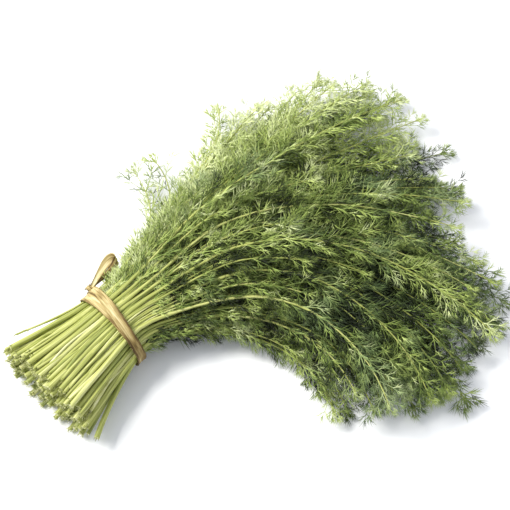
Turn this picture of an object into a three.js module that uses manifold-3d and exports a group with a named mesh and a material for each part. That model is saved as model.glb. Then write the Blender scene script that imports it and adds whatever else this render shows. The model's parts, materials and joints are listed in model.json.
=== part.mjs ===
// A bunch of fresh dill, tied with two turns of raffia and lying on its side.
//
// Millimetres, +Z up. +X runs from the cut ends to the tips, the surface is z = 0, and the
// origin is on that surface, under the middle of the bunch.
//
// The stems stand in layers where the raffia squeezes them. From there each one keeps its place
// among its neighbours: it flares towards its cut end, and past the raffia it fans out, bends to
// the right and sinks into the pile. Two neighbours, a long stem and a short one, are pressed
// into each other under the raffia and make one node. Each stem is a closed skin that grows from
// its cut end to its tip, with pairs of side branches that grow from its faces, and thread-like
// leaflets that are raised, in whorls, from the faces of the branches.

import * as THREE from "three";
import { mergeVertices } from "three/addons/utils/BufferGeometryUtils.js";
import Module from "manifold-3d";

const wasm = await Module();
wasm.setup();

// The bundle in the raffia.
const LAYER_STEMS = [6, 10, 12, 12, 14, 14, 12, 12, 10, 6]; // stems in each layer, lowest first
const STEM_PITCH = 3.9; // between neighbours in a layer
const LAYER_RISE = 3.4; // between layers
const TIE_HEADING = 20; // degrees from +X to the stems in the raffia, seen from above
const PAIR_SQUEEZE = 0.75; // how far the raffia moves each stem towards its partner
const SQUEEZE_REACH = 16;

// The raffia. Its left end is ahead of its middle, and its right end behind.
const TURNS = [
  { shift: -3.5, inside: 0, width: 7.5, thickness: 1.2 },
  { shift: 3.5, inside: 0.3, width: 7.1, thickness: 1.4 }, // lies over the first on the right
];
const RAFFIA_HOLE_WIDTH = 59.2;
const RAFFIA_HOLE_HEIGHT = 39.6;
const RAFFIA_FLAT = 0.4; // how deep the surface presses its round underside flat
const RAFFIA_SKEW = 4;
const RAFFIA_STEPS = 24;
const PARTING = 0.8; // where the turns part: 0 at the top, 1 at the right

// The knot and its loop, on the left.
const KNOT_SIZE = 9;
const KNOT_ANGLE = 14; // degrees up from the bundle's widest place
const KNOT_STANDOFF = 2.2;
const LOOP_LENGTH = 36;
const LOOP_WIDTH = 4.5;
const LOOP_THICKNESS = 0.9;
const LOOP_GAPE = 2.4;
const LOOP_STEPS = 8;
const LOOP_LEFT = 0.2; // how far it leans away from the stems

// The stems.
const CUT_LENGTH = 64; // from the raffia to the cut ends
const CUT_UNEVEN = 7; // between the shortest and the longest cut end
const CUT_SLOPE = 5; // how much shorter the uppermost stems are cut than the lowest
const BUTT_FLARE = 0.5; // how much wider the bunch is at its cut ends than in the raffia
const FLARE_CURVE = 1.2;
const BUTT_HEIGHT = 34;
const LOOSE_LAYER = 4; // the rightmost stem of this layer stands off at its cut end
const LOOSE_SPLAY = 9;
const LOOSE_BEND = 20; // where it turns off
const LONG_REACH = 296; // from the raffia to the tip of the longest stem
const LEFT_SHORTFALL = 90; // how much less the outermost stems reach
const RIGHT_SHORTFALL = 118;
const LONG_SHARES = [0.86, 1]; // least and most reach of a stem, as shares of the longest there
const SHORT_SHARES = [0.42, 0.68];
const LONG_RADIUS = 1.75;
const SHORT_RADIUS = 1.5;
const TIP_RADIUS = 0.55;
const STEM_SIDES = 4;
const STATION_STEP = 50; // between a stem's rings past the raffia
const ROUTE_STEP = 4; // between the points from which its place is worked out

// The fan, in degrees, seen from above. Side is 1 on the left of the bunch, -1 on the right.
const FAN_START = -10;
const FAN_SPREAD = 22;
const LEFT_FAN_LENGTH = 40;
const RIGHT_FAN_LENGTH = 26;
const BEND_START = 36;
const LEFT_BEND = 0.03; // degrees a millimetre
const RIGHT_BEND = 0.67;
const STRAIGHT_SIDE = 0.6; // the bend grows from here to the right
const CURL = 5; // how far the stems part into tufts
const CURL_START = 60;
const CURL_LENGTH = 120;
const TUFTS = 9; // radians of curl across half the bunch
// What some tufts have besides, at places across the bunch: more or less reach, as a share, and
// a turn to the left, in degrees.
const TUFT_SIDES = [-0.6, -0.25, -0.12, -0.03, 0.08, 0.2, 0.3, 0.4, 0.5, 0.62, 0.76, 0.88];
const TUFT_REACHES = [1, 1.06, 1.03, 1.045, 0.87, 1.05, 1.03, 1.02, 1.04, 0.97, 0.97, 0.98];
const TUFT_TURNS = [0, 0, 0, -2, 0, 4, 3, 6, 5, 0, 3, 9];
const STRAY_SIDE = 0.93; // the stems left of this turn away from the bunch
const STRAY_LENGTH = 80; // of the part that turns
const LONG_STRAY_CURL = 38;
const LONG_STRAY_START = 122;
const LONG_STRAY_REACH = 202;
const SHORT_STRAY_CURL = 72;
const SHORT_STRAY_START = 68;
const SHORT_STRAY_REACH = 152;

// The pile that the stems sink into.
const PILE_START = 10; // past the raffia
const PILE_LENGTH = 80; // from there to where every stem lies in the pile
const PILE_HEIGHTS = [36, 46, 56, 58, 50, 36, 26]; // of the highest stems, every PILE_STEP
const PILE_STEP = 45;
const PILE_ROUND = 0.75; // how much lower the pile is at its sides
const SWAY = 1.6;
const SWAY_LENGTH = 26;

// The fronds.
const BARE_SHARE = 0.4; // of a stem's reach, before its first branches
const LEAFY_SHARE = 0.9;
const LONG_PAIRS = 2; // pairs of branches
const SHORT_PAIRS = 1;
const BRANCH_LENGTH = 30;
const BRANCH_RADIUS = 0.75;
const BRANCH_BASE = 1.6; // length of the face that a branch grows from
const BRANCH_ANGLE = 38; // degrees from the stem
const TWO_WHORLS = 25; // the shortest branch with two whorls
const LEAFLET_LENGTH = 12;
const LEAFLET_ANGLE = 40; // degrees from the branch
const LEAFLET_BASE = 1; // length of the face that a leaflet is raised from
const LEAFLET_RADIUS = 0.5;
const CLEARANCE = 0.35; // between one node and the next
const FLOOR_CLEARANCE = 0.15;
const TURNS_TRIED = [0, 20, -20, 40, -40, 55, -55]; // degrees round the stem
const LENGTHS_TRIED = [1, 0.8, 0.6, 0.45];

const SLIVER = 0.03; // the narrowest face left where two solids are joined
const SNAP = 0.01; // the grid that their corners are moved to

const { degToRad: rad, lerp, clamp } = THREE.MathUtils;
const smooth = (x) => THREE.MathUtils.smoothstep(x, 0, 1);

// The value at x on a line through the values at places, level outside them.
function valueAt(x, places, values) {
  const next = places.findIndex((place) => place > x);
  if (next < 1) return next ? values[values.length - 1] : values[0];
  const share = (x - places[next - 1]) / (places[next] - places[next - 1]);
  return lerp(values[next - 1], values[next], share);
}

const UP = new THREE.Vector3(0, 0, 1);
const ALONG = new THREE.Vector3(Math.cos(rad(TIE_HEADING)), Math.sin(rad(TIE_HEADING)), 0);
const LEFT = new THREE.Vector3().crossVectors(UP, ALONG);
const TIE_CENTRE_HEIGHT = RAFFIA_HOLE_HEIGHT / 2 + TURNS[0].thickness - RAFFIA_FLAT;

// A number from 0 to 1 that is always the same for one stem and one use.
function draw(index, use) {
  const x = Math.sin(index * 12.9898 + use * 78.233) * 43758.5453;
  return x - Math.floor(x);
}

// Where each stem stands in the raffia. across and height are in millimetres from the middle,
// side is -1 to 1 across the bunch, and rise is 0 to 1 from its underside to its top.
function bundle() {
  const halfWidth = ((Math.max(...LAYER_STEMS) - 1) / 2) * STEM_PITCH;
  const halfHeight = ((LAYER_STEMS.length - 1) / 2) * LAYER_RISE;
  const stems = [];
  LAYER_STEMS.forEach((count, layer) => {
    for (let place = 0; place < count; place++) {
      const shift = layer % 2 ? STEM_PITCH / 4 : -STEM_PITCH / 4;
      const across = (place - (count - 1) / 2) * STEM_PITCH + shift;
      const height = layer * LAYER_RISE - halfHeight;
      const column = Math.sqrt(1.08 - (across / (halfWidth * 1.1)) ** 2) * halfHeight;
      stems.push({
        index: stems.length,
        name: "stem" + stems.length,
        layer,
        across,
        height,
        side: across / halfWidth,
        rise: clamp((height / column + 1) / 2, 0, 1),
        partner: place % 2 ? -1 : 1,
        long: (place + layer) % 2 === 0,
      });
    }
  });
  return stems;
}

function reachOf(stem) {
  if (stem.stray) return stem.long ? LONG_STRAY_REACH : SHORT_STRAY_REACH;
  const left = LEFT_SHORTFALL * stem.side ** 3;
  const right = RIGHT_SHORTFALL * Math.abs(stem.side) ** 1.3;
  const even = LONG_REACH - (stem.side < 0 ? right : left);
  const longest = even * valueAt(stem.side, TUFT_SIDES, TUFT_REACHES);
  return longest * lerp(...(stem.long ? LONG_SHARES : SHORT_SHARES), draw(stem.index, 1));
}

function curlOf(stem) {
  if (stem.stray) return stem.long ? LONG_STRAY_CURL : SHORT_STRAY_CURL;
  const turn = valueAt(stem.side, TUFT_SIDES, TUFT_TURNS);
  return turn + CURL * Math.sin(TUFTS * stem.side + 3 * stem.rise);
}

// How much of its curl a stem has at s past the raffia, from 0 to 1.
function curled(stem, s) {
  if (!stem.stray) return smooth((s - CURL_START) / CURL_LENGTH);
  return smooth((s - (stem.long ? LONG_STRAY_START : SHORT_STRAY_START)) / STRAY_LENGTH);
}

// The heading of a stem at s past the raffia, in degrees.
function headingAt(stem, s) {
  const share = Math.max(0, STRAIGHT_SIDE - stem.side) / (1 + STRAIGHT_SIDE);
  const fanLength = lerp(LEFT_FAN_LENGTH, RIGHT_FAN_LENGTH, share);
  const open = (FAN_START + FAN_SPREAD * stem.side) * smooth(s / fanLength);
  const bend = lerp(LEFT_BEND, RIGHT_BEND, share) * Math.max(0, s - BEND_START);
  return TIE_HEADING + open - bend + stem.curl * curled(stem, s);
}

// A stem's line past the raffia, seen from above: a point every ROUTE_STEP.
function planOf(stem) {
  const points = [];
  const at = LEFT.clone().multiplyScalar(stem.across);
  for (let s = 0; s <= stem.reach + ROUTE_STEP; s += ROUTE_STEP) {
    points.push(at.clone());
    const heading = rad(headingAt(stem, s + ROUTE_STEP / 2));
    at.x += Math.cos(heading) * ROUTE_STEP;
    at.y += Math.sin(heading) * ROUTE_STEP;
  }
  return points;
}

function pileHeight(s) {
  const at = Math.min(s / PILE_STEP, PILE_HEIGHTS.length - 1.001);
  const i = Math.floor(at);
  return lerp(PILE_HEIGHTS[i], PILE_HEIGHTS[i + 1], at - i);
}

function radiusAt(stem, s) {
  const thick = stem.long ? LONG_RADIUS : SHORT_RADIUS;
  return lerp(thick, TIP_RADIUS, clamp(s / stem.reach, 0, 1) ** 1.2);
}

// The point of a stem at s from the raffia, negative towards the cut end.
function pointAt(stem, s) {
  const squeeze = PAIR_SQUEEZE * stem.partner * Math.exp(-((s / SQUEEZE_REACH) ** 2));
  const tied = TIE_CENTRE_HEIGHT + stem.height;
  const ground = radiusAt(stem, s) + 0.2;
  if (s <= 0) {
    const share = -s / CUT_LENGTH;
    const flare = 1 + BUTT_FLARE * share ** FLARE_CURVE;
    const across = stem.across * flare + stem.splay * share ** 2;
    return ALONG.clone()
      .multiplyScalar(s)
      .addScaledVector(LEFT, across + squeeze)
      .setZ(lerp(tied, ground + BUTT_HEIGHT * stem.rise, smooth(share)));
  }
  const i = Math.min(Math.floor(s / ROUTE_STEP), stem.plan.length - 2);
  const round = Math.sqrt(Math.max(0.2, 1 - PILE_ROUND * stem.side ** 2));
  const sway = Math.sin(s / SWAY_LENGTH + 2 * stem.side + 4 * stem.rise) * Math.min(1, s / 120);
  return stem.plan[i]
    .clone()
    .lerp(stem.plan[i + 1], s / ROUTE_STEP - i)
    .addScaledVector(LEFT, squeeze + SWAY * sway)
    .setZ(lerp(tied, ground + pileHeight(s) * round * stem.rise, smooth((s - PILE_START) / PILE_LENGTH)));
}

// A stem's rings, as distances from the raffia. The last one is its tip.
function stationsOf(stem) {
  const uneven = CUT_SLOPE * (stem.rise - 0.5) - CUT_UNEVEN * (draw(stem.index, 3) - 0.5);
  const stations = [-CUT_LENGTH + uneven];
  if (stem.splay) stations.push(-LOOSE_BEND);
  for (let s = 0; s < stem.reach - STATION_STEP / 2; s += STATION_STEP) stations.push(s);
  stations.push(stem.reach);
  return stations;
}

// The point of a stem's straight stretches at s, and their direction there.
function onStem(stem, s) {
  const k = Math.max(1, stem.stations.findIndex((end) => end >= s));
  const [from, to] = [stem.stations[k - 1], stem.stations[k]];
  const [a, b] = [stem.line[k - 1], stem.line[k]];
  const at = a.clone().lerp(b, (s - from) / (to - from));
  return { at, along: b.clone().sub(a).normalize() };
}

// A closed skin of triangles, grown ring by ring. A ring is a list of corners, in order round
// the direction in which the skin grows.
class Skin {
  constructor() {
    this.points = [];
    this.faces = [];
  }
  corner(point) {
    return this.points.push(point) - 1;
  }
  firstRing(centre, along, radius, sides) {
    const across = new THREE.Vector3().crossVectors(UP, along).normalize();
    const over = new THREE.Vector3().crossVectors(along, across);
    return Array.from({ length: sides }, (_, k) => {
      const a = (2 * Math.PI * k) / sides;
      const out = across.clone().multiplyScalar(Math.cos(a)).addScaledVector(over, Math.sin(a));
      return this.corner(out.multiplyScalar(radius).add(centre));
    });
  }
  middleOf(ring) {
    const sum = new THREE.Vector3();
    for (const k of ring) sum.add(this.points[k]);
    return sum.divideScalar(ring.length);
  }
  // A ring whose corners stand in line with the last ring's.
  nextRing(ring, centre, along, radius) {
    const middle = this.middleOf(ring);
    return ring.map((k) => {
      const out = this.points[k].clone().sub(middle).projectOnPlane(along).setLength(radius);
      return this.corner(out.add(centre));
    });
  }
  // The four corners of the face between two rings, at one side.
  faceBetween(from, to, side) {
    const next = (side + 1) % from.length;
    return [from[side], from[next], to[next], to[side]];
  }
  // Joins two rings, with a hole left at each open side.
  join(from, to, open = []) {
    for (let side = 0; side < from.length; side++) {
      const [a, b, c, d] = this.faceBetween(from, to, side);
      if (!open.includes(side)) this.faces.push([a, b, c], [a, c, d]);
    }
  }
  growTo(ring, tip) {
    const last = this.corner(tip);
    ring.forEach((a, k) => this.faces.push([a, ring[(k + 1) % ring.length], last]));
  }
  closeStart(ring) {
    for (let k = 1; k + 1 < ring.length; k++) this.faces.push([ring[0], ring[k + 1], ring[k]]);
  }
  closeEnd(ring) {
    for (let k = 1; k + 1 < ring.length; k++) this.faces.push([ring[0], ring[k], ring[k + 1]]);
  }
  solid() {
    return solidOf(this.points.flatMap((p) => p.toArray()), this.faces.flat());
  }
}

function solidOf(positions, corners) {
  const vertProperties = new Float32Array(positions);
  const triVerts = new Uint32Array(corners);
  return new wasm.Manifold(new wasm.Mesh({ numProp: 3, vertProperties, triVerts }));
}

// A solid without the slivers that are left where the surfaces of its parts crossed.
function clean(solid) {
  const snap = (x) => Math.round(x / SNAP) * SNAP;
  const snapped = solid.warp((corner) => corner.forEach((x, k) => (corner[k] = snap(x))));
  return snapped.asOriginal().simplify(SLIVER);
}

// Every placed stretch of stem, branch and leaflet, as a segment with a radius, in a grid of
// cells, so that a new one can be tested against its neighbours. What grows from one root has
// one name, and is not tested against its own kin.
const CELL = 12;
const cells = new Map();

function cellsOf(a, b, margin) {
  const low = a.clone().min(b).subScalar(margin).divideScalar(CELL).floor();
  const high = a.clone().max(b).addScalar(margin).divideScalar(CELL).floor();
  const keys = [];
  for (let x = low.x; x <= high.x; x++)
    for (let y = low.y; y <= high.y; y++)
      for (let z = low.z; z <= high.z; z++) keys.push(`${x},${y},${z}`);
  return keys;
}

function place(a, b, radius, name) {
  for (const key of cellsOf(a, b, 0)) {
    if (!cells.has(key)) cells.set(key, []);
    cells.get(key).push({ a, b, radius, name });
  }
}

// The least distance between the segments ab and cd.
function distance(a, b, c, d) {
  const u = b.clone().sub(a);
  const v = d.clone().sub(c);
  const w = a.clone().sub(c);
  const uu = u.dot(u);
  const uv = u.dot(v);
  const vv = v.dot(v);
  const uw = u.dot(w);
  const vw = v.dot(w);
  const det = uu * vv - uv * uv;
  const nearest = det > 1e-9 ? clamp((uv * vw - vv * uw) / det, 0, 1) : 0;
  const t = clamp((uv * nearest + vw) / vv, 0, 1);
  const s = clamp((uv * t - uw) / uu, 0, 1);
  return w.addScaledVector(u, s).addScaledVector(v, -t).length();
}

function isClear(a, b, radius, kin) {
  if (Math.min(a.z, b.z) < radius / 2 + FLOOR_CLEARANCE) return false;
  const margin = radius + LONG_RADIUS + CLEARANCE;
  return cellsOf(a, b, margin).every((key) =>
    (cells.get(key) ?? []).every(
      (other) =>
        kin.includes(other.name) ||
        distance(a, b, other.a, other.b) > radius + other.radius + CLEARANCE,
    ),
  );
}

// Raises leaflets from the faces between two rings, where they are free, and joins the rings.
function whorl(skin, from, to, along, length, kin) {
  const centre = skin.middleOf(from);
  const name = "whorl" + centre.toArray();
  const open = [];
  for (let side = 0; side < from.length; side++) {
    const base = skin.faceBetween(from, to, side);
    const root = skin.middleOf(base);
    const out = root.clone().sub(centre).projectOnPlane(along).normalize();
    const tip = root
      .clone()
      .addScaledVector(out, length * Math.sin(rad(LEAFLET_ANGLE)))
      .addScaledVector(along, length * Math.cos(rad(LEAFLET_ANGLE)));
    if (!isClear(root, tip, LEAFLET_RADIUS, [...kin, name])) continue;
    place(root, tip, LEAFLET_RADIUS, name);
    skin.growTo(base, tip);
    open.push(side);
  }
  skin.join(from, to, open);
}

// Grows a branch from a face of a stem: a slim spike with one or two whorls of leaflets.
function growBranch(skin, base, root, way, length, stem) {
  const name = "branch" + root.toArray();
  const tip = root.clone().addScaledVector(way, length);
  place(root, tip, BRANCH_RADIUS, name);
  let last = base;
  for (const share of length > TWO_WHORLS ? [0.36, 0.68] : [0.45]) {
    const at = root.clone().lerp(tip, share);
    const radius = BRANCH_RADIUS * (1 - 0.5 * share);
    const from = skin.nextRing(last, at, way, radius);
    const to = skin.nextRing(from, at.clone().addScaledVector(way, LEAFLET_BASE), way, radius);
    skin.join(last, from);
    whorl(skin, from, to, way, LEAFLET_LENGTH * lerp(1, 0.7, share), [name]);
    last = to;
  }
  skin.growTo(last, tip);
}

// A free direction and length for a branch that leaves a stem along out, or nothing.
function freeBranch(root, along, out, length, stem) {
  const over = new THREE.Vector3().crossVectors(along, out);
  for (const share of LENGTHS_TRIED) {
    for (const turn of TURNS_TRIED) {
      const aside = out.clone().multiplyScalar(Math.cos(rad(turn)));
      aside.addScaledVector(over, Math.sin(rad(turn)));
      const way = along.clone().multiplyScalar(Math.cos(rad(BRANCH_ANGLE)));
      way.addScaledVector(aside, Math.sin(rad(BRANCH_ANGLE)));
      way.z = Math.max(way.z, (2 * BRANCH_RADIUS - root.z) / (length * share));
      way.normalize();
      const tip = root.clone().addScaledVector(way, length * share);
      const outer = root.clone().lerp(tip, 0.4);
      if (isClear(root, tip, BRANCH_RADIUS, [stem.name]) && isClear(outer, tip, BRANCH_RADIUS, []))
        return { way, length: length * share };
    }
  }
  return null;
}

// What a stem's skin passes on its way: its stations and the roots of its pairs of branches.
function stopsOf(stem) {
  const pairs = stem.long ? LONG_PAIRS : SHORT_PAIRS;
  const branches = Array.from({ length: pairs }, (_, k) => {
    const along = (k + 0.7 * draw(stem.index, 10 + k)) / pairs;
    const s = lerp(BARE_SHARE, LEAFY_SHARE, along) * stem.reach;
    return { s, length: BRANCH_LENGTH * lerp(1, 0.6, k / pairs) };
  });
  const isAlone = (s) => branches.every((branch) => Math.abs(branch.s - s) > 2 * BRANCH_BASE);
  const bends = stem.stations.slice(1, -1).filter(isAlone).map((s) => ({ s }));
  return [...bends, ...branches].sort((one, other) => one.s - other.s);
}

function stemSolid(stem) {
  const skin = new Skin();
  const start = onStem(stem, stem.stations[0]);
  let ring = skin.firstRing(start.at, start.along, radiusAt(stem, 0), STEM_SIDES);
  skin.closeStart(ring);
  const grow = (s, along) => {
    const last = ring;
    ring = skin.nextRing(last, onStem(stem, s).at, along, radiusAt(stem, s));
    return [last, ring];
  };
  for (const { s, length } of stopsOf(stem)) {
    const along = onStem(stem, s - 1).along.add(onStem(stem, s + 1).along).normalize();
    skin.join(...grow(s, along));
    if (!length) continue;
    const [from, to] = grow(s + BRANCH_BASE, along);
    const first = draw(stem.index, s) < 0.5 ? 0 : 1;
    const open = [];
    for (const side of [first, first + 2, 1 - first, 3 - first]) {
      const base = skin.faceBetween(from, to, side);
      const root = skin.middleOf(base);
      const out = root.clone().sub(skin.middleOf(from)).projectOnPlane(along).normalize();
      const found = open.length < 2 && freeBranch(root, along, out, length, stem);
      if (!found) continue;
      growBranch(skin, base, root, found.way, found.length, stem);
      open.push(side);
    }
    skin.join(from, to, open);
  }
  const end = stem.reach - LEAFLET_LENGTH;
  const { along } = onStem(stem, end);
  skin.join(...grow(end, along));
  whorl(skin, ...grow(end + LEAFLET_BASE, along), along, LEAFLET_LENGTH, [stem.name]);
  skin.growTo(ring, stem.line[stem.line.length - 1]);
  return skin.solid();
}

// A strip of raffia through places on its line, each with the direction out of its upper face
// and the direction of its width.
function strip(stations, width, thickness, closed) {
  const skin = new Skin();
  const rings = stations.map(({ at, out, wide }) =>
    [
      [-1, 0],
      [1, 0],
      [1, 1],
      [-1, 1],
    ].map(([w, t]) => {
      const corner = at.clone().addScaledVector(wide, (w * width) / 2);
      return skin.corner(corner.addScaledVector(out, t * thickness));
    }),
  );
  for (let k = 0; k + 1 < rings.length; k++) skin.join(rings[k], rings[k + 1]);
  const last = rings[rings.length - 1];
  if (closed) skin.join(last, rings[0]);
  else {
    skin.closeStart(rings[0]);
    skin.closeEnd(last);
  }
  return skin.solid();
}

// One turn of raffia round the stems. shift is how far it stands from the middle on the left,
// and inside is how far its inner face stands off the first turn's.
function turnOfRaffia({ shift, inside, width, thickness }) {
  const stations = [];
  for (let k = 0; k < RAFFIA_STEPS; k++) {
    const a = (2 * Math.PI * k) / RAFFIA_STEPS;
    const parted = smooth((Math.cos(a) + PARTING) / (1 + PARTING));
    const out = LEFT.clone().multiplyScalar(Math.cos(a)).addScaledVector(UP, Math.sin(a));
    const at = LEFT.clone()
      .multiplyScalar((RAFFIA_HOLE_WIDTH / 2 + inside) * Math.cos(a))
      .setZ(TIE_CENTRE_HEIGHT + (RAFFIA_HOLE_HEIGHT / 2 + inside) * Math.sin(a))
      .addScaledVector(ALONG, RAFFIA_SKEW * Math.cos(a) + shift * parted);
    stations.push({ at, out, wide: ALONG });
  }
  return strip(stations, width, thickness, true);
}

const KNOT_AT = LEFT.clone()
  .multiplyScalar((RAFFIA_HOLE_WIDTH / 2 + KNOT_STANDOFF) * Math.cos(rad(KNOT_ANGLE)))
  .setZ(TIE_CENTRE_HEIGHT + (RAFFIA_HOLE_HEIGHT / 2 + KNOT_STANDOFF) * Math.sin(rad(KNOT_ANGLE)))
  .addScaledVector(ALONG, RAFFIA_SKEW + TURNS[1].shift);
const LOOP_WAY = ALONG.clone().addScaledVector(LEFT, LOOP_LEFT).normalize();

function knotSolid() {
  const ball = new THREE.IcosahedronGeometry(KNOT_SIZE / 2, 0);
  ball.deleteAttribute("normal");
  ball.deleteAttribute("uv");
  ball.translate(...KNOT_AT.toArray());
  const merged = mergeVertices(ball);
  return solidOf(merged.attributes.position.array, merged.index.array);
}

// The loop leaves the knot towards the tips, turns back and ends in the knot.
function loopSolid() {
  const sideways = new THREE.Vector3().crossVectors(UP, LOOP_WAY);
  const wide = UP.clone().negate();
  const stations = [];
  for (let k = 0; k <= LOOP_STEPS; k++) {
    const a = lerp(0.5, 2 * Math.PI - 0.5, k / LOOP_STEPS);
    const half = k - LOOP_STEPS / 2;
    const at = KNOT_AT.clone()
      .addScaledVector(LOOP_WAY, ((1 - Math.cos(a)) / 2) * LOOP_LENGTH)
      .addScaledVector(sideways, Math.sin(a) * (1 - Math.cos(a)) * LOOP_GAPE);
    const out = half === 0 ? LOOP_WAY : sideways.clone().multiplyScalar(-Math.sign(half));
    stations.push({ at, out, wide });
  }
  return strip(stations, LOOP_WIDTH, LOOP_THICKNESS, false);
}

function raffiaSolid() {
  const wound = wasm.Manifold.union([...TURNS.map(turnOfRaffia), knotSolid(), loopSolid()]);
  return clean(wound.trimByPlane([0, 0, 1], 0));
}

function meshOf(name, solid, material) {
  const { numProp, numVert, vertProperties, triVerts } = solid.getMesh();
  const positions = new Float32Array(numVert * 3);
  for (let i = 0; i < numVert; i++)
    positions.set(vertProperties.subarray(i * numProp, i * numProp + 3), i * 3);
  const geometry = new THREE.BufferGeometry();
  geometry.setAttribute("position", new THREE.BufferAttribute(positions, 3));
  geometry.setIndex(new THREE.BufferAttribute(triVerts, 1));
  geometry.computeVertexNormals();
  const mesh = new THREE.Mesh(geometry, material);
  mesh.name = name;
  return mesh;
}

// The stems and the loop are placed first, and then the branches find their way between them.
const stems = bundle();
for (const stem of stems) {
  stem.stray = stem.side > STRAY_SIDE;
  stem.splay = stem.layer === LOOSE_LAYER && stem.side < -1 ? -LOOSE_SPLAY : 0;
  stem.curl = curlOf(stem);
  stem.reach = reachOf(stem);
  stem.plan = planOf(stem);
  stem.stations = stationsOf(stem);
  stem.line = stem.stations.map((s) => pointAt(stem, s));
  for (let k = 0; k + 1 < stem.line.length; k++)
    place(stem.line[k], stem.line[k + 1], radiusAt(stem, stem.stations[k]), stem.name);
}
place(KNOT_AT, KNOT_AT.clone().addScaledVector(LOOP_WAY, LOOP_LENGTH), LOOP_WIDTH, "loop");

const dill = new THREE.MeshStandardMaterial({ color: 0x8fa84c, roughness: 0.55, metalness: 0 });
const raffia = new THREE.MeshStandardMaterial({ color: 0xd9b473, roughness: 0.7, metalness: 0 });

const group = new THREE.Group();
group.add(meshOf("raffia_tie", raffiaSolid(), raffia));
for (let first = 0; first < stems.length; first += 2) {
  const pair = stems.slice(first, first + 2);
  const name = "leafy_stems_" + String(first / 2 + 1).padStart(2, "0");
  group.add(meshOf(name, clean(wasm.Manifold.union(pair.map(stemSolid))), dill));
}

const middle = new THREE.Box3().setFromObject(group).getCenter(new THREE.Vector3());
group.position.set(-middle.x, -middle.y, 0);

export default group;
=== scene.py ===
# %% [markdown]
# # A bunch of fresh dill
# The bunch is a hundred or so leaf stalks, tied with raffia and lying on its side. Its solids,
# made in CAD, hold the place of every stalk. Here each pair of stalks is grown again as fine
# pieces: ribbed stalks with cut ends, and the feathery leaf that makes dill what it is. The
# frame comes first, because every piece sits on it.

# %% The frame
import json
import math

import bpy
import numpy as np
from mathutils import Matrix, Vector


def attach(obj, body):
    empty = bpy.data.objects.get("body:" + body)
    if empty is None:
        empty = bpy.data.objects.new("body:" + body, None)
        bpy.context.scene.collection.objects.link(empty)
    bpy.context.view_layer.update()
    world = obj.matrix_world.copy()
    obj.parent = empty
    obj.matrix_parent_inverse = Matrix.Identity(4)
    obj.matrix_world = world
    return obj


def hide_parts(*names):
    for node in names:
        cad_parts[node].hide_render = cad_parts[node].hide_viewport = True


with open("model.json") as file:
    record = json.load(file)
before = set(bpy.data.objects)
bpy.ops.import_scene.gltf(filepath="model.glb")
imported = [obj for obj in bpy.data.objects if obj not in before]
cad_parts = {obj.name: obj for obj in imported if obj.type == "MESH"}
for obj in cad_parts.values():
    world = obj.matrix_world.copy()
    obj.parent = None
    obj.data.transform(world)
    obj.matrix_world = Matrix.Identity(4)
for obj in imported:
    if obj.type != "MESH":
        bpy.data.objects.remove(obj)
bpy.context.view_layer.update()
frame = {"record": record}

bpy.ops.object.select_all(action="DESELECT")

# %% [markdown]
# ## Where each stalk lies
# The raffia squeezes the stalks into ten layers. From there each one keeps its place among its
# neighbours: it flares towards its cut end, and past the raffia it fans out, bends to the right
# and sinks into the pile. The solids follow the same rules, so the fine pieces land on them.
# Lengths in these rules are millimetres, and become metres when a mesh is made.

# %% The rules of the bundle
MM = 0.001
LAYER_STALKS = [6, 10, 12, 12, 14, 14, 12, 12, 10, 6]
PITCH, LAYER_RISE = 3.9, 3.4
HEADING = 20  # degrees, of the stalks in the raffia
PAIR_SQUEEZE, SQUEEZE_REACH = 0.75, 16
CUT_LENGTH, CUT_UNEVEN, CUT_SLOPE = 64, 7, 5
BUTT_FLARE, FLARE_CURVE, BUTT_HEIGHT = 0.5, 1.2, 34
LOOSE_LAYER, LOOSE_SPLAY = 4, 9
LONGEST, LEFT_SHORTFALL, RIGHT_SHORTFALL = 296, 90, 118
LONG_SHARES, SHORT_SHARES = (0.86, 1), (0.42, 0.68)
LONG_RADIUS, SHORT_RADIUS, TIP_RADIUS = 1.75, 1.5, 0.55
ROUTE_STEP = 4
FAN_START, FAN_SPREAD, LEFT_FAN_LENGTH, RIGHT_FAN_LENGTH = -10, 22, 40, 26
BEND_START, LEFT_BEND, RIGHT_BEND, STRAIGHT_SIDE = 36, 0.03, 0.67, 0.6
CURL, CURL_START, CURL_LENGTH, TUFTS = 5, 60, 120, 9
TUFT_SIDES = [-0.6, -0.25, -0.12, -0.03, 0.08, 0.2, 0.3, 0.4, 0.5, 0.62, 0.76, 0.88]
TUFT_REACHES = [1, 1.06, 1.03, 1.045, 0.87, 1.05, 1.03, 1.02, 1.04, 0.97, 0.97, 0.98]
TUFT_TURNS = [0, 0, 0, -2, 0, 4, 3, 6, 5, 0, 3, 9]
STRAY_SIDE = 0.93
LONG_STRAY_CURL, LONG_STRAY_START, LONG_STRAY_REACH = 38, 122, 202
SHORT_STRAY_CURL, SHORT_STRAY_START, SHORT_STRAY_REACH = 72, 68, 152
STRAY_LENGTH = 80
PILE_START, PILE_LENGTH, PILE_STEP, PILE_ROUND = 10, 80, 45, 0.75
PILE_HEIGHTS = [36, 46, 56, 58, 50, 36, 26]
SWAY, SWAY_LENGTH = 1.6, 26
TIE_HEIGHT = 20.6  # of the middle of the raffia

UP = np.array([0, 0, 1.0])
ALONG = np.array([math.cos(math.radians(HEADING)), math.sin(math.radians(HEADING)), 0])
LEFT = np.cross(UP, ALONG)
TIE = np.array(frame["record"]["mounts"][0]["pos_m"]) / MM  # the floor under the raffia


def draw(index, use):
    x = math.sin(index * 12.9898 + use * 78.233) * 43758.5453
    return x - math.floor(x)


def mix(a, b, share):
    return a + (b - a) * share


def smooth(x):
    x = np.clip(x, 0, 1)
    return x * x * (3 - 2 * x)


def unit(v):
    return v / np.linalg.norm(v, axis=-1, keepdims=True)


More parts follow.
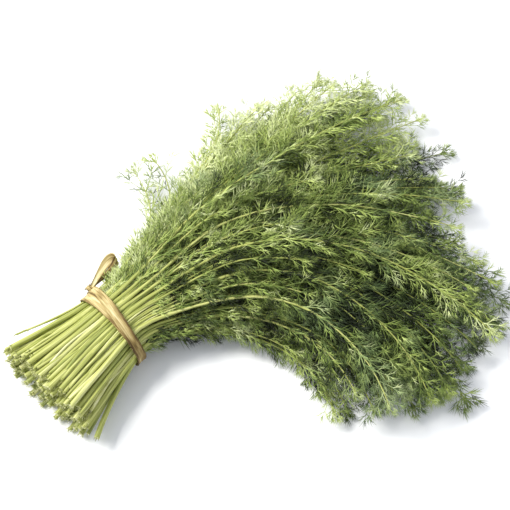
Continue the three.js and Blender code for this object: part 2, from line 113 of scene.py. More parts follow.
# %% A stalk and its route
class Stalk:
    def __init__(self, index, across, height, long, layer=-1, partner=0):
        half_width = (max(LAYER_STALKS) - 1) / 2 * PITCH
        half_height = (len(LAYER_STALKS) - 1) / 2 * LAYER_RISE
        self.index, self.across, self.height, self.long = index, across, height, long
        self.partner = partner
        self.side = across / half_width
        column = math.sqrt(max(0.1, 1.08 - (self.side / 1.1) ** 2)) * half_height
        self.rise = min(max((height / column + 1) / 2, 0), 1)
        self.stray = self.side > STRAY_SIDE
        self.splay = -LOOSE_SPLAY if layer == LOOSE_LAYER and self.side < -1 else 0
        self.curl = CURL * math.sin(TUFTS * self.side + 3 * self.rise)
        self.curl += np.interp(self.side, TUFT_SIDES, TUFT_TURNS)
        self.curl_start, self.curl_length = CURL_START, CURL_LENGTH
        if self.stray:
            self.curl = LONG_STRAY_CURL if long else SHORT_STRAY_CURL
            self.curl_start = LONG_STRAY_START if long else SHORT_STRAY_START
            self.curl_length = STRAY_LENGTH
        left = LEFT_SHORTFALL * self.side**3
        right = RIGHT_SHORTFALL * abs(self.side) ** 1.3
        reach = LONGEST - (right if self.side < 0 else left)
        reach *= np.interp(self.side, TUFT_SIDES, TUFT_REACHES)
        self.reach = reach * mix(*(LONG_SHARES if long else SHORT_SHARES), draw(index, 1))
        if self.stray:
            self.reach = LONG_STRAY_REACH if long else SHORT_STRAY_REACH
        uneven = CUT_SLOPE * (self.rise - 0.5) - CUT_UNEVEN * (draw(index, 3) - 0.5)
        self.cut = -CUT_LENGTH + uneven
        self.lay_out(across)

    def lay_out(self, across):
        self.plan_s = np.arange(0, self.reach + 2 * ROUTE_STEP, ROUTE_STEP)
        heading = np.radians(self.heading(self.plan_s + ROUTE_STEP / 2))
        steps = np.stack([np.cos(heading), np.sin(heading)], axis=1) * ROUTE_STEP
        self.plan = LEFT[:2] * across + np.vstack([np.zeros(2), np.cumsum(steps, axis=0)[:-1]])

    def heading(self, s):
        share = max(0, STRAIGHT_SIDE - self.side) / (1 + STRAIGHT_SIDE)
        fan_length = mix(LEFT_FAN_LENGTH, RIGHT_FAN_LENGTH, share)
        fan = (FAN_START + FAN_SPREAD * self.side) * smooth(s / fan_length)
        bend = mix(LEFT_BEND, RIGHT_BEND, share) * np.maximum(0, s - BEND_START)
        return HEADING + fan - bend + self.curl * smooth((s - self.curl_start) / self.curl_length)

    def radius(self, s):
        thick = LONG_RADIUS if self.long else SHORT_RADIUS
        return mix(thick, TIP_RADIUS, np.clip(s / self.reach, 0, 1) ** 1.2)

    def points(self, s):
        """The stalk's middle line at distances s from the raffia, negative towards its cut end."""
        s = np.asarray(s, float)
        squeeze = PAIR_SQUEEZE * self.partner * np.exp(-((s / SQUEEZE_REACH) ** 2))
        tied, ground = TIE_HEIGHT + self.height, self.radius(s) + 0.2
        share = np.maximum(-s / CUT_LENGTH, 0)
        across = self.across * (1 + BUTT_FLARE * share**FLARE_CURVE) + self.splay * share**2
        across = across + squeeze
        butt = s[:, None] * ALONG + across[:, None] * LEFT
        butt[:, 2] = mix(tied, ground + BUTT_HEIGHT * self.rise, smooth(share))
        leafy = np.stack([np.interp(s, self.plan_s, self.plan[:, k]) for k in (0, 1)] + [s * 0], 1)
        sway = np.sin(s / SWAY_LENGTH + 2 * self.side + 4 * self.rise) * np.minimum(1, s / 120)
        leafy += (squeeze + SWAY * sway)[:, None] * LEFT
        round_off = math.sqrt(max(0.2, 1 - PILE_ROUND * self.side**2))
        pile = np.interp(s / PILE_STEP, range(len(PILE_HEIGHTS)), PILE_HEIGHTS) * round_off
        leafy[:, 2] = mix(tied, ground + pile * self.rise, smooth((s - PILE_START) / PILE_LENGTH))
        return np.where(s[:, None] <= 0, butt, leafy) + TIE


def bundle():
    stalks = []
    half_height = (len(LAYER_STALKS) - 1) / 2 * LAYER_RISE
    for layer, count in enumerate(LAYER_STALKS):
        for place in range(count):
            shift = PITCH / 4 if layer % 2 else -PITCH / 4
            across = (place - (count - 1) / 2) * PITCH + shift
            height = layer * LAYER_RISE - half_height
            long, partner = (place + layer) % 2 == 0, -1 if place % 2 else 1
            stalks.append(Stalk(len(stalks), across, height, long, layer, partner))
    return stalks

# %% [markdown]
# ## Shapes that are modelled once and copied
# A bunch has thousands of leaf threads, so none is made by hand. Each kind of piece is modelled
# once with Blender's own tools. Its corners and faces are then read into a Shape, which can be
# placed, bent and joined many times faster than objects can, and becomes one mesh at the end.
# Marks are numbers that every corner carries into the mesh, where a material reads them.

# %% A shape that can be copied
MARKS = ("tint", "cut")


class Shape:
    def __init__(self, corners, loops, sizes, marks, flat=None):
        self.corners, self.loops, self.sizes, self.marks = corners, loops, sizes, marks
        self.flat = corners if flat is None else flat  # where each corner was before it was bent

    def moved(self, corners, **marks):
        return Shape(corners, self.loops, self.sizes, {**self.marks, **marks}, self.flat)

    def copies(self, frames, origins, tints):
        """One copy for each frame, a matrix whose columns are the copy's own axes."""
        count, n = len(frames), len(self.corners)
        corners = np.einsum("kij,nj->kni", frames, self.corners) + origins[:, None]
        loops = self.loops + n * np.arange(count)[:, None]
        marks = {mark: np.tile(values, count) for mark, values in self.marks.items()}
        marks["tint"] = marks["tint"] + np.repeat(tints, n)
        sizes, flat = np.tile(self.sizes, count), np.tile(self.flat, (count, 1))
        return Shape(corners.reshape(-1, 3), loops.ravel(), sizes, marks, flat)


def joined(shapes):
    starts = np.cumsum([0] + [len(shape.corners) for shape in shapes])
    return Shape(
        np.vstack([shape.corners for shape in shapes]),
        np.concatenate([shape.loops + start for shape, start in zip(shapes, starts)]),
        np.concatenate([shape.sizes for shape in shapes]),
        {mark: np.concatenate([shape.marks[mark] for shape in shapes]) for mark in MARKS},
        np.vstack([shape.flat for shape in shapes]),
    )


def shape_of(piece, cut_below=None):
    """Reads a modelled piece into a Shape and removes the piece."""
    mesh = piece.data
    corners = np.array([v.co for v in mesh.vertices])
    loops = np.array([loop.vertex_index for loop in mesh.loops])
    sizes = np.array([face.loop_total for face in mesh.polygons])
    cut = np.zeros(len(corners))
    if cut_below is not None:
        inside = np.hypot(corners[:, 0], corners[:, 1]) < 0.9
        cut = ((corners[:, 2] < cut_below) & inside).astype(float)
    bpy.data.objects.remove(piece)
    bpy.data.meshes.remove(mesh)
    return Shape(corners, loops, sizes, {"tint": cut * 0, "cut": cut})


def triangles(shape):
    return int((shape.sizes - 2).sum())


# %% [markdown]
# ## The blanks: a thread, a stalk
# A leaf thread is thinner than a millimetre, so a spike with three sides is round enough, and a
# hundred thousand of them stay affordable. The stalk is seen from close by, so its blank has ten
# sides, or six where it is slim, a rim and a pithy hollow at the cut end, and shallow ribs. A
# blank stands upright from 0 to 1, so that bending it along a route is only a question of where
# each height goes.

# %% A spike with three sides, plain or with bends
def in_edit_mode(select_mode):
    bpy.ops.object.mode_set(mode="EDIT")
    bpy.ops.mesh.select_mode(type=select_mode)
    bpy.ops.mesh.select_all(action="DESELECT")
    bpy.ops.object.mode_set(mode="OBJECT")


def is_upright(mesh, edge):
    a, b = (mesh.vertices[i].co for i in edge.vertices)
    return abs((a - b).z) > 0.5


def cut_across(piece, number_of_cuts):
    """Cuts all the upright edges of a piece at even heights."""
    in_edit_mode("EDGE")
    for edge in piece.data.edges:
        edge.select = is_upright(piece.data, edge)
    bpy.ops.object.mode_set(mode="EDIT")
    bpy.ops.mesh.subdivide(number_cuts=number_of_cuts)
    bpy.ops.object.mode_set(mode="OBJECT")


def spike(bends, tip):
    ends = {"radius1": 1, "radius2": tip, "depth": 1, "location": (0, 0, 0.5)}
    bpy.ops.mesh.primitive_cone_add(vertices=3, end_fill_type="NGON", **ends)
    piece = bpy.context.object
    bpy.ops.object.transform_apply(location=True)
    if bends:
        cut_across(piece, bends)
    return shape_of(piece)


plain_thread = spike(bends=0, tip=0)
bent_thread = spike(bends=1, tip=0)
bent_thread.corners[np.abs(bent_thread.corners[:, 2] - 0.5) < 0.1, :2] *= 1.6  # tapers late
rib = spike(bends=4, tip=0.35)
print("triangles: thread", triangles(plain_thread), "bent", triangles(bent_thread))
print("triangles: rib", triangles(rib))

# %% The stalk, stout and slim
CUT_END = 0.0012  # height of the cut end's rim, as a share of the stalk


def stalk_blank(sides, cuts, rib_height):
    bpy.ops.mesh.primitive_cylinder_add(vertices=sides, radius=1, depth=1, location=(0, 0, 0.5))
    piece = bpy.context.object
    bpy.ops.object.transform_apply(location=True)
    cut_across(piece, cuts)
    in_edit_mode("FACE")
    for face in piece.data.polygons:
        face.select = face.normal.z < -0.9
    bpy.ops.object.mode_set(mode="EDIT")
    bpy.ops.mesh.inset(thickness=0.12)
    bpy.ops.transform.translate(value=(0, 0, -CUT_END))  # a rounded rim
    bpy.ops.mesh.inset(thickness=0.3)
    bpy.ops.mesh.inset(thickness=0.22)
    bpy.ops.transform.translate(value=(0, 0, 5 * CUT_END))  # the pith has sunk in
    bpy.ops.object.mode_set(mode="OBJECT")
    blank = shape_of(piece, cut_below=0.01)
    angles = np.arctan2(blank.corners[:, 1], blank.corners[:, 0])
    ribs = 1 + rib_height * np.cos(angles * sides / 2)  # every other corner stands proud
    blank.corners[:, :2] *= ribs[:, None]
    return blank


stout_stalk = stalk_blank(sides=10, cuts=26, rib_height=0.07)
slim_stalk = stalk_blank(sides=6, cuts=15, rib_height=0.1)
print("triangles: stout stalk", triangles(stout_stalk), "slim stalk", triangles(slim_stalk))


# %% Bending a blank along a route
def bent(blank, route, radii, tint, twist=0.0):
    """Lays an upright blank along a route of points, with a radius at each point."""
    share = np.linspace(0, 1, len(route))
    tangents = unit(np.gradient(route, axis=0))
    helper = UP if abs(tangents[0][2]) < 0.8 else ALONG
    across = unit(np.cross(helper, tangents))
    over = np.cross(tangents, across)
    x, y, z = blank.corners.T
    at = [np.interp(z, share, route[:, k]) for k in range(3)]
    a, b = x * math.cos(twist) - y * math.sin(twist), x * math.sin(twist) + y * math.cos(twist)
    radius = np.interp(z, share, radii)
    beyond = (z - np.clip(z, 0, 1)) * np.linalg.norm(np.diff(route, axis=0), axis=1).sum()
    corners = np.empty_like(blank.corners)
    for k in range(3):
        side = np.interp(z, share, across[:, k]) * a + np.interp(z, share, over[:, k]) * b
        corners[:, k] = at[k] + side * radius + np.interp(z, share, tangents[:, k]) * beyond
    marks = {"tint": np.interp(z, share, np.broadcast_to(tint, len(route)))}
    return blank.moved(corners, **marks)


# %% [markdown]
# ## The feathery leaf
# A dill leaf divides three times. Pairs of side branches leave the stalk, pairs of small sprays
# leave each side branch, and each spray splits into threads. The side branch is the piece that
# repeats, so a small library of them is made, in five lengths with three variants of each, and
# another of airy ones, which are thinner and more open, for the tips. The threads lie a little out
# of the plane, because a leaf that has been handled is never flat.

# %% Threads along directions
def frames_along(directions, lengths, radii):
    """A frame for each spike: its length along the direction, and its radius across."""
    directions = unit(directions)
    helper = np.where(np.abs(directions[:, 2:]) < 0.9, UP, np.array([1.0, 0, 0]))
    across = unit(np.cross(helper, directions))
    over = np.cross(directions, across)
    scales = (across * radii[:, None], over * radii[:, None], directions * lengths[:, None])
    return np.stack(scales, axis=-1)


def turned(direction, in_plane, out_of_plane):
    """A direction in the leaf's plane, xy, turned by angles in degrees."""
    a, b = math.radians(in_plane), math.radians(out_of_plane)
    x, y, z = direction
    x, y = x * math.cos(a) - y * math.sin(a), x * math.sin(a) + y * math.cos(a)
    return np.array([x * math.cos(b), y * math.cos(b), z * math.cos(b) + math.sin(b)])


# %% A side branch
SPRAY_GAP = 6.7  # between pairs of sprays, in mm
LONGEST_SPRAY, SHORTEST_FORK = 18.5, 2.2
THREAD_RADIUS = 0.36  # the real one is nearer 0.2, which would not show
AIRY_LENGTH, AIRY_GAP, AIRY_RADIUS = 0.88, 1.25, 0.84  # an airy branch, against a plain one
PLAIN_ANGLES, AIRY_ANGLES = (16, 38), (22, 46)  # of the sprays from the branch, in degrees
FORKS = ((0.2, 24, 0.76), (0.38, -21, 0.66), (0.56, 17, 0.54))  # place, angle, share of spray
END_ANGLES = (-25, -9, 5, 21)


def side_branch(length, chance, airy=False):
    share = np.linspace(0, 1, 6)
    sideways, lift = chance.uniform(-0.16, 0.16), chance.uniform(-0.22, 0.1)
    line = np.stack([share, sideways * share**2, lift * share**2], axis=1) * length
    spikes = []  # origin, direction, length, is bent, tint
    for hand in (-1, 1):
        at = 0.15 * length + chance.uniform(0, 2)
        while at < length - 1:
            u = at / length
            origin = np.array([np.interp(u, share, line[:, k]) for k in range(3)])
            along = unit(np.array([1, 2 * sideways * u, 2 * lift * u]))
            longest = min(LONGEST_SPRAY, 7.5 + 0.34 * length)
            spray = longest * (1.05 - 0.42 * u) * chance.uniform(0.75, 1.2)
            spray *= AIRY_LENGTH if airy else 1
            angle = chance.uniform(*(AIRY_ANGLES if airy else PLAIN_ANGLES))
            way = turned(along, hand * angle, chance.uniform(-22, 22))
            tint = chance.normal(0, 0.13)
            spikes.append((origin, way, spray, True, tint))
            for start, angle, part in FORKS:
                if part * spray < SHORTEST_FORK:
                    continue
                fork = turned(way, hand * angle * chance.uniform(0.7, 1.2), chance.uniform(-20, 20))
                size = part * spray * chance.uniform(0.85, 1.15)
                fork_tint = tint + chance.normal(0, 0.06)
                spikes.append((origin + way * start * spray, fork, size, False, fork_tint))
            at += SPRAY_GAP * chance.uniform(0.75, 1.2) * (AIRY_GAP if airy else 1)
    for angle in END_ANGLES:
        way = turned(unit(line[-1] - line[-2]), angle, chance.uniform(-14, 14))
        size = min(12, 5 + 0.25 * length) * chance.uniform(0.75, 1.1)
        spikes.append((line[-1] - way * 0.6, way, size, angle > 0, 0.05))
    shapes = [bent(rib, line, np.linspace(0.5, 0.3, 6), 0.02)]
    radius = THREAD_RADIUS * (AIRY_RADIUS if airy else 1)
    for blank, kind in ((plain_thread, False), (bent_thread, True)):
        chosen = [s for s in spikes if s[3] == kind]
        origins, ways = np.array([s[0] for s in chosen]), np.array([s[1] for s in chosen])
        lengths, tints = np.array([s[2] for s in chosen]), np.array([s[4] for s in chosen])
        frames = frames_along(ways, lengths, np.full(len(chosen), radius))
        copies = blank.copies(frames, origins, tints)
        if kind:  # the middle ring of a bent thread moves aside
            middle = np.abs(np.tile(blank.corners[:, 2], len(chosen)) - 0.5) < 0.1
            shift = lengths * chance.uniform(-0.09, 0.09, len(chosen))
            aside = np.repeat(shift, len(blank.corners))
            copies.corners[middle] += aside[middle, None] * np.array([0, 0.5, 0.8])
        shapes.append(copies)
    return joined(shapes)


BRANCH_LENGTHS, VARIANTS = [38, 30, 22, 15, 9], 3
chance = np.random.default_rng(7)
library, airy_library = (
    [[side_branch(length, chance, airy) for _ in range(VARIANTS)] for length in BRANCH_LENGTHS]
    for airy in (False, True)
)
print("triangles in each side branch:", [[triangles(shape) for shape in row] for row in library])

# %% [markdown]
# ## The leafy stalks
# Each stalk gets its side branches in pairs. The pairs are far apart and long at first, and close
# and short at the tip. They turn round the stalk as they go, so the bunch is thick rather than
# flat. Whatever would pass through the table, or stand up out of the pile, is pressed flat by a
# soft limit, as the weight of the pile does.

# %% Side branches in pairs
FLOOR, CEILING = 0.3, 75.2
BARE_TIP = 13  # of a stalk, past its last pair
EDGE_SIDE, WORN_SIDE = 0.72, -1.08  # from here out the leaf is short, or worn off below
NEAR_TIP = 36  # from here on to the tip the side branches are airy
SPREAD, TIP_SPREAD, STRAY_SPREAD = (16, 36), (20, 44), (32, 55)  # degrees from the stalk
# The tuft at each tip is painted lighter: painted light, where the thin ends are lit through.
TIP_TURNS, TIP_PAINTED_LIGHT = (-22, 3, 25), 0.36


def pressed(corners):
    """Keeps corners between the table and the top of the pile, without a hard edge."""
    z = corners[:, 2]
    z = FLOOR + 0.3 * np.logaddexp(0, (z - FLOOR) / 0.3)
    corners[:, 2] = CEILING - 3 * np.logaddexp(0, (CEILING - z) / 3)
    return corners


def leafy_from(stalk):
    """Where the leaf begins past the raffia: sooner at the edges of the bunch."""
    if stalk.stray:
        return (0.6 if stalk.long else 0.5) * stalk.reach
    return mix(3, 34, smooth((stalk.side + 1.05) / 0.4)) - 20 * smooth((stalk.side - 0.1) / 0.6)


def pairs_of(stalk, chance, thin):
    """Pairs of side branches, as distances from the raffia and sizes: small and far apart in the
    bare part of the stalk, long in its middle, short and close at its tip."""
    start, end = leafy_from(stalk), stalk.reach - BARE_TIP
    bare = mix(85, 30, smooth((stalk.side - 0.2) / 0.5))
    at = start + chance.uniform(0, 8)
    pairs = []
    while at < end:
        t, grown = (at - start) / (end - start), smooth((at - start) / bare)
        size = mix(11, mix(36, 13, t**0.9), grown) * chance.uniform(0.82, 1.12)
        if abs(stalk.side) > EDGE_SIDE:
            size = min(size, mix(12, 20, smooth((at - 90) / 60)))
        if stalk.stray:
            size = (1 - 0.5 * t) * chance.uniform(*((12, 20) if stalk.long else (18, 32)))
        pairs.append((at, size))
        gap = (10 if stalk.long else 14) if stalk.stray else mix(17, mix(12.5, 6.5, t), grown)
        at += gap * thin * chance.uniform(0.8, 1.2)
    return pairs


def side_branches(stalk, chance, base_tint, thin=1.0):
    rows = library + airy_library
    placed = [[] for _ in rows]
    for at, size in pairs_of(stalk, chance, thin):
        near_tip = at > stalk.reach - NEAR_TIP
        airy = near_tip or (stalk.stray and not stalk.long)
        here, there = stalk.points([at, at + 1])
        along = unit(there - here)
        across = unit(np.cross(UP, along))
        over = np.cross(along, across)
        roll = chance.normal(0, 0.5)  # the pile has pressed the leaf flat
        plane = across * math.cos(roll) + over * math.sin(roll)
        for hand in (-1, 1):
            if hand < 0 and stalk.side < WORN_SIDE:
                continue  # worn off where the bunch lies on its right edge
            spread = STRAY_SPREAD if stalk.stray else TIP_SPREAD if near_tip else SPREAD
            angle = math.radians(chance.uniform(*spread))
            way = along * math.cos(angle) + plane * hand * math.sin(angle)
            aside = unit(np.cross(np.cross(along, way), way)) * hand
            kind = int(np.argmin([abs(length - size) for length in BRANCH_LENGTHS]))
            scale = size / BRANCH_LENGTHS[kind] * chance.uniform(0.9, 1.1)
            frame_here = np.stack([way, aside, np.cross(way, aside)], axis=-1) * scale
            # Painted light: the leaf grows lighter towards the tip, where its thin threads are lit
            # through, and more so on the lower stalks.
            painted_tip_light = (0.4 - 0.16 * stalk.rise) * (at / stalk.reach) ** 1.5
            tint = base_tint + painted_tip_light + chance.normal(0, 0.12)
            placed[kind + airy * len(library)].append((frame_here, here, tint))
    for turn in TIP_TURNS:  # the tip ends in a tuft
        here, there = stalk.points([stalk.reach - 12, stalk.reach - 9])
        along = unit(there - here)
        across = unit(np.cross(UP, along))
        way = along * math.cos(math.radians(turn)) + across * math.sin(math.radians(turn))
        aside = unit(np.cross(np.cross(along, across), way))
        frame_here = np.stack([way, aside, np.cross(way, aside)], axis=-1) * chance.uniform(0.8, 1)
        placed[len(library) - 1].append((frame_here, here, base_tint + TIP_PAINTED_LIGHT))
    shapes = []
    for row, places in zip(rows, placed):
        for k, variant in enumerate(row):
            chosen = places[k::len(row)]
            if chosen:
                frames, origins, tints = (np.array(part) for part in zip(*chosen))
                shapes.append(variant.copies(frames, origins, tints))
    return shapes


# %% A stalk's own skin
SKIN_POINTS = 40
STRAND_RADIUS, STOUT_STRANDS, SLIM_STRANDS = 0.36, 9, 4


def frayed(end, inside, radius, seed, count):
    """Short torn strands round a cut end. Inside is the next point of the stalk's route."""
    chance = np.random.default_rng(seed)
    out = unit(end - inside)
    across = unit(np.cross(UP, out))
    angles = chance.uniform(0, 2 * math.pi, count)
    aside = np.outer(np.cos(angles), across) + np.outer(np.sin(angles), np.cross(out, across))
    origins = end - out * 1.2 + aside * radius * chance.uniform(0.5, 1, count)[:, None]
    ways = out + aside * chance.uniform(-0.5, 1.1, count)[:, None]
    frames = frames_along(ways, chance.uniform(2.2, 5.6, count), np.full(count, STRAND_RADIUS))
    return plain_thread.copies(frames, origins, chance.uniform(0.3, 0.95, count))


def stalk_skin(stalk, chance, blank=stout_stalk, thick=1.0, wander=0.25):
    s = mix(stalk.cut + chance.uniform(-1.5, 1.5), stalk.reach - 6, np.linspace(0, 1, SKIN_POINTS))
    route = stalk.points(s)
    radii = stalk.radius(s) * mix(1, 1.04, smooth(-s / 40)) * mix(1, 0.6, smooth(s / 40))
    wobble = 1 + 0.05 * np.sin(s / 9 + stalk.index)
    loose = wander * (1 + 3 * wander * smooth((-s - 8) / 40))
    crossing = chance.normal(0, 0 if stalk.splay else 1.4) * np.maximum(0, -s / CUT_LENGTH) ** 1.5
    route = route + np.outer(loose * np.sin(s / 17 + 2 * stalk.index) + crossing, LEFT)
    route[:, 2] += loose * np.sin(s / 14 + 3 * stalk.index)
    # Painted light and shade: stalks on top of the pile are lighter and those below darker, and the
    # right edge is painted lighter where it is lit. Paler towards the cut is the stalk's own
    # colour.
    tint = 0.24 + 0.36 * stalk.rise + 0.2 * smooth((-stalk.side - 0.8) / 0.25)
    tint = tint + 0.1 * smooth((30 - s) / 90) + chance.normal(0, 0.11)
    radii = radii * wobble * thick
    count = STOUT_STRANDS if blank is stout_stalk else SLIM_STRANDS
    strands = frayed(route[0], route[1], radii[0], stalk.index, count)
    return joined([bent(blank, route, radii, tint, twist=chance.uniform(0, 6)), strands])

# %% [markdown]
# ## From shapes to pieces
# All the shapes of a pair of stalks become one mesh. Its corners carry the tint, the cut end and
# the place they had on the straight blank, so a material can run its streaks along a bent stalk.
# The first material is the stalk's and the second the leaf's.

# %% Materials: colours, nodes and the shader's sockets
def linear(hex_colour):
    def channel(value):
        value /= 255
        return value / 12.92 if value <= 0.04045 else ((value + 0.055) / 1.055) ** 2.4
    number = int(hex_colour.lstrip("#"), 16)
    return (*(channel(number >> shift & 255) for shift in (16, 8, 0)), 1.0)


def node(material, kind, settings=None, links=None):
    """Adds a node to a material. Settings are sockets' values or the node's own, and links are
    sockets to fill from other nodes' sockets."""
    made = material.node_tree.nodes.new(kind)
    for name, value in (settings or {}).items():
        if isinstance(name, int) or name in made.inputs:
            made.inputs[name].default_value = value
        else:
            setattr(made, name, value)
    for name, source in (links or {}).items():
        material.node_tree.links.new(made.inputs[name], source)
    return made


def ramp(material, factor, stops):
    made = node(material, "ShaderNodeValToRGB", links={"Fac": factor})
    elements = made.color_ramp.elements
    while len(elements) < len(stops):
        elements.new(0.5)
    for element, (place, colour) in zip(elements, stops):
        element.position, element.color = place, linear(colour)
    return made.outputs["Color"]


def mark_node(material, name):
    return node(material, "ShaderNodeAttribute", {"attribute_name": name}).outputs


def noise(material, vector, **settings):
    return node(material, "ShaderNodeTexNoise", settings, {"Vector": vector}).outputs["Fac"]


def stretched(material, vector, scale):
    made = node(material, "ShaderNodeMapping", {"Scale": scale}, {"Vector": vector})
    return made.outputs["Vector"]


def multiply_add(material, value, factor, added):
    """value * factor + added, where added is a number or another node's socket."""
    settings, links = {"operation": "MULTIPLY_ADD", 1: factor}, {0: value}
    if isinstance(added, float):
        settings[2] = added
    else:
        links[2] = added
    return node(material, "ShaderNodeMath", settings, links).outputs["Value"]


def plus(material, a, b):
    return node(material, "ShaderNodeMath", {"operation": "ADD"}, {0: a, 1: b}).outputs["Value"]


def mixed(material, factor, a, b):
    links = {0: factor, 6: a, 7: b}  # 6 and 7 are the colour sockets
    return node(material, "ShaderNodeMix", {"data_type": "RGBA"}, links).outputs[2]


def new_material(name):
    material = bpy.data.materials.new(name)
    material.use_nodes = True
    return material, material.node_tree.nodes["Principled BSDF"]


def finish_material(material, shader, colour, roughness, specular, bumps=None):
    """Fills the shader's sockets. bumps is a height socket and how far it lifts, in metres."""
    material.node_tree.links.new(shader.inputs["Base Color"], colour)
    shader.inputs["Roughness"].default_value = roughness
    shader.inputs["Specular IOR Level"].default_value = specular
    if bumps:
        settings = {"Strength": 0.6, "Distance": bumps[1]}
        made = node(material, "ShaderNodeBump", settings, {"Height": bumps[0]})
        material.node_tree.links.new(shader.inputs["Normal"], made.outputs["Normal"])


# %% [markdown]
# ### Dill leaf
# A leaf thread is a water-filled green cylinder with a thin waxy skin. It is matt rather than
# glossy, and much of the light that falls on it goes in and comes out again, so the outer
# threads look yellow-green and bright; the shader leaves that out, and the brightness is painted
# into the colour instead. The tint mark runs from deep green to yellow-green: painted light on
# top of the pile, on the left, at the right edge and towards the tips, painted shade in the lower
# layers, and the leaves' own random differences.

# %% The leaf's material
YOUNG_OR_LIT_STOPS = [(0, "#161f0e"), (0.2, "#38451b"), (0.42, "#7b9045"), (0.66, "#b3c46b"),
               (1, "#e4edb2")]
OLD_OR_SHADED_STOPS = [(0, "#151e11"), (0.2, "#2f3d21"), (0.42, "#657b4a"), (0.66, "#9bae75"),
             (1, "#d5dfb0")]
leaf, shader = new_material("dill_leaf_waxy_thread")
tint = mark_node(leaf, "tint")["Fac"]
place = node(leaf, "ShaderNodeTexCoord").outputs["Object"]
patches = noise(leaf, place, Scale=45.0, Detail=2.0)  # patches of about 20 mm
total = plus(leaf, tint, multiply_add(leaf, patches, 1.1, -0.55))
# Patches of older, duller leaf at random, and more of them where the tint mark holds painted shade.
regions = noise(leaf, place, Scale=22.0, Detail=3.0)  # about 45 mm
greener = multiply_add(leaf, tint, -0.3, regions)
older_or_shaded = node(leaf, "ShaderNodeMapRange", {1: 0.36, 2: 0.52}, {0: greener}).outputs[0]
young_or_lit_colour, old_or_shaded_colour = ramp(leaf, total, YOUNG_OR_LIT_STOPS), ramp(leaf, total, OLD_OR_SHADED_STOPS)
finish_material(leaf, shader, mixed(leaf, older_or_shaded, young_or_lit_colour, old_or_shaded_colour), 0.5, 0.4)

# %% [markdown]
# ### Dill stalk
# The stalk is smooth and ribbed, with a faint wax bloom, pale and yellow near the cut and green
# towards the leaf. Its streaks are the strands under the skin, about half a millimetre apart and
# as long as the stalk, so the noise is stretched along the straight blank. The cut end shows a
# green skin round a pale, pithy middle.

# %% The stalk's material
STALK_STOPS = [(0, "#49582a"), (0.3, "#818b42"), (0.55, "#abb15c"), (0.78, "#cacc84"),
               (1, "#e5e4ba")]
PITH_STOPS = [(0.3, "#b9bd74"), (0.6, "#e3e2ae"), (0.8, "#f3f0cf")]
stem, shader = new_material("dill_stalk_ribbed_skin")
flat = stretched(stem, mark_node(stem, "flat")["Vector"], (1.3, 1.3, 7.0))
streaks = noise(stem, flat, Scale=1.6, Detail=3.0)
# The tint mark holds the stalk's own colour, paler near the cut, and painted light and shade from
# its place in the pile.
total = plus(stem, mark_node(stem, "tint")["Fac"], multiply_add(stem, streaks, 1.1, -0.58))
skin, pith = ramp(stem, total, STALK_STOPS), ramp(stem, streaks, PITH_STOPS)
skin_or_pith = mixed(stem, mark_node(stem, "cut")["Fac"], skin, pith)
finish_material(stem, shader, skin_or_pith, 0.5, 0.4, (streaks, 0.0003))

# %% [markdown]
# ### Raffia
# Dry palm fibre is a matt, slightly silky tan. Its colour changes along the fibres, from cream
# where the skin was thick to brown where it is thin or bruised, and it is darker at the edges. The
# fibres are under half a millimetre apart and run the whole length of the strip.

# %% The raffia's material
RAFFIA_STOPS = [(0.26, "#4c3818"), (0.4, "#7c6535"), (0.54, "#a8935b"), (0.66, "#c8b680"),
                (0.82, "#e0d5a8")]
raffia, shader = new_material("raffia_dried_palm_fibre")
flat = mark_node(raffia, "flat")["Vector"]
along_it = stretched(raffia, flat, (0.03, 1.1, 0.3))
fibres = noise(raffia, along_it, Scale=2.2, Detail=5.0, Roughness=0.65)
bruises = noise(raffia, stretched(raffia, flat, (0.045, 0.25, 0.1)), Scale=1.6, Detail=2.0)
total = multiply_add(raffia, bruises, 0.8, multiply_add(raffia, fibres, 1.0, -0.32))
# The tint mark adds the turns' lighter and darker stretches and the loop's painted shade.
aged_or_shaded = plus(raffia, total, mark_node(raffia, "tint")["Fac"])
edges = mark_node(raffia, "cut")["Fac"]  # on raffia the cut mark is for the strip's edges
darker = multiply_add(raffia, edges, -0.16, aged_or_shaded)
colour = ramp(raffia, darker, RAFFIA_STOPS)
finish_material(raffia, shader, colour, 0.62, 0.35, (fibres, 0.0004))


# %% One mesh from many shapes
def piece_of(name, shapes_by_material, materials, replaced):
    """Makes a mesh from lists of shapes, one list for each material."""
    groups = [joined(shapes) for shapes in shapes_by_material if shapes]
    whole = joined(groups)
    mesh = bpy.data.meshes.new(name)
    mesh.vertices.add(len(whole.corners))
    mesh.vertices.foreach_set("co", (pressed(whole.corners.copy()) * MM).ravel())
    mesh.loops.add(len(whole.loops))
    mesh.loops.foreach_set("vertex_index", whole.loops)
    mesh.polygons.add(len(whole.sizes))
    starts = np.concatenate([[0], np.cumsum(whole.sizes)[:-1]])
    mesh.polygons.foreach_set("loop_start", starts)
    kinds = np.repeat(range(len(groups)), [len(group.sizes) for group in groups])
    mesh.polygons.foreach_set("material_index", kinds)
    mesh.polygons.foreach_set("use_smooth", np.ones(len(whole.sizes), bool))
    for mark in MARKS:
        layer = mesh.attributes.new(mark, "FLOAT", "POINT")
        layer.data.foreach_set("value", whole.marks[mark])
    layer = mesh.attributes.new("flat", "FLOAT_VECTOR", "POINT")
    layer.data.foreach_set("vector", whole.flat.ravel())
    mesh.update(calc_edges=True)
    mesh.validate()
    for material in materials:
        mesh.materials.append(material)
    piece = bpy.data.objects.new(name, mesh)
    bpy.context.scene.collection.objects.link(piece)
    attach(piece, "root")
    if replaced:
        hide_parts(*replaced)
    return triangles(whole)


